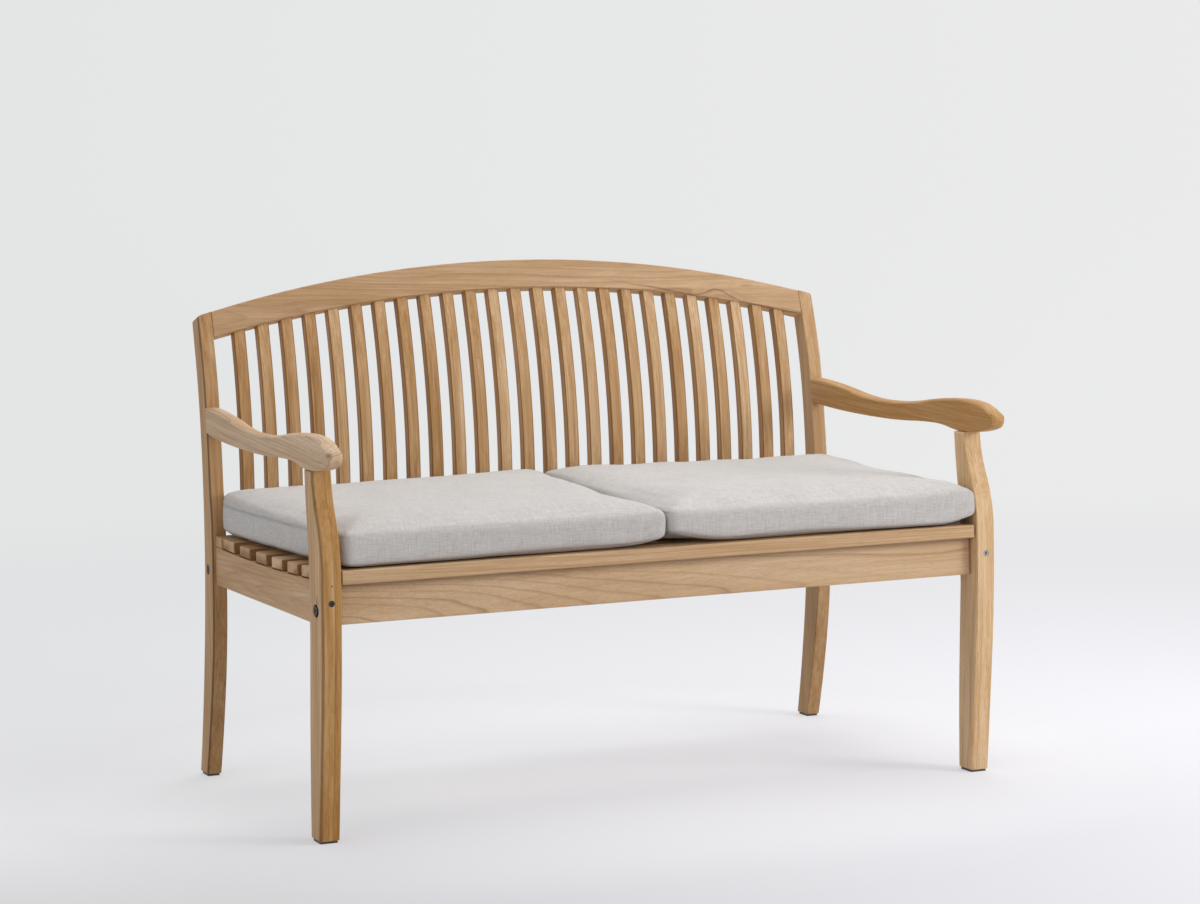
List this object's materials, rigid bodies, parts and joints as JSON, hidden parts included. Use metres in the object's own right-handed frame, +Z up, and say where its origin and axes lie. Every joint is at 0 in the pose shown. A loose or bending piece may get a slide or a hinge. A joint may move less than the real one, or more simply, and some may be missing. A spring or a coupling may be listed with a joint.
{
  "type": "patio loveseat",
  "caption": "Slatted teak patio loveseat with an arched leaning crest rail, bent back slats, scrolled arms, shaped legs, a dished slat seat and loose seat cushions.",
  "frame": {"origin": "centre of the floor rectangle under the whole bench, at the height of the floor that the glides rest on", "axes": "+X along the length to the sitter's left, +Y from the front of the seat to the back, +Z up"},
  "size_m": [1.203, 0.7468, 0.8831],
  "materials": {
    "teak": "sanded teak with a thin oil finish, satin",
    "steel": "dull zinc-plated steel",
    "glide": "matt black",
    "cushion_cloth": "warm grey woven outdoor cloth"
  },
  "bodies": {
    "bench": {"front_leg_left": "teak", "front_leg_right": "teak", "rear_post_left": "teak", "rear_post_right": "teak", "arm_left": "teak", "arm_right": "teak", "side_rail_left": "teak", "side_rail_right": "teak", "front_apron": "teak", "rear_seat_rail": "teak", "seat_bearer": "teak", "crest_rail": "teak", "lower_back_rail": "teak", "seat_slat_01": "teak", "seat_slat_02": "teak", "seat_slat_03": "teak", "seat_slat_04": "teak", "seat_slat_05": "teak", "seat_slat_06": "teak", "seat_slat_07": "teak", "seat_slat_08": "teak", "back_slat_01": "teak", "back_slat_02": "teak", "back_slat_03": "teak", "back_slat_04": "teak", "back_slat_05": "teak", "back_slat_06": "teak", "back_slat_07": "teak", "back_slat_08": "teak", "back_slat_09": "teak", "back_slat_10": "teak", "back_slat_11": "teak", "back_slat_12": "teak", "back_slat_13": "teak", "back_slat_14": "teak", "back_slat_15": "teak", "back_slat_16": "teak", "back_slat_17": "teak", "back_slat_18": "teak", "back_slat_19": "teak", "back_slat_20": "teak", "back_slat_21": "teak", "back_slat_22": "teak", "back_slat_23": "teak", "back_slat_24": "teak", "back_slat_25": "teak", "side_bolts": "steel", "face_screws": "steel", "glides": "glide"},
    "left_cushion": {"cushion_left": "cushion_cloth"},
    "right_cushion": {"cushion_right": "cushion_cloth"}
  },
  "joints": [
    {"name": "left_cushion_lift", "type": "slide", "parent": "bench", "child": "left_cushion", "axis": [0, 0, 1], "range_m": [0, 0.25]},
    {"name": "right_cushion_lift", "type": "slide", "parent": "bench", "child": "right_cushion", "axis": [0, 0, 1], "range_m": [0, 0.25]}
  ]
}
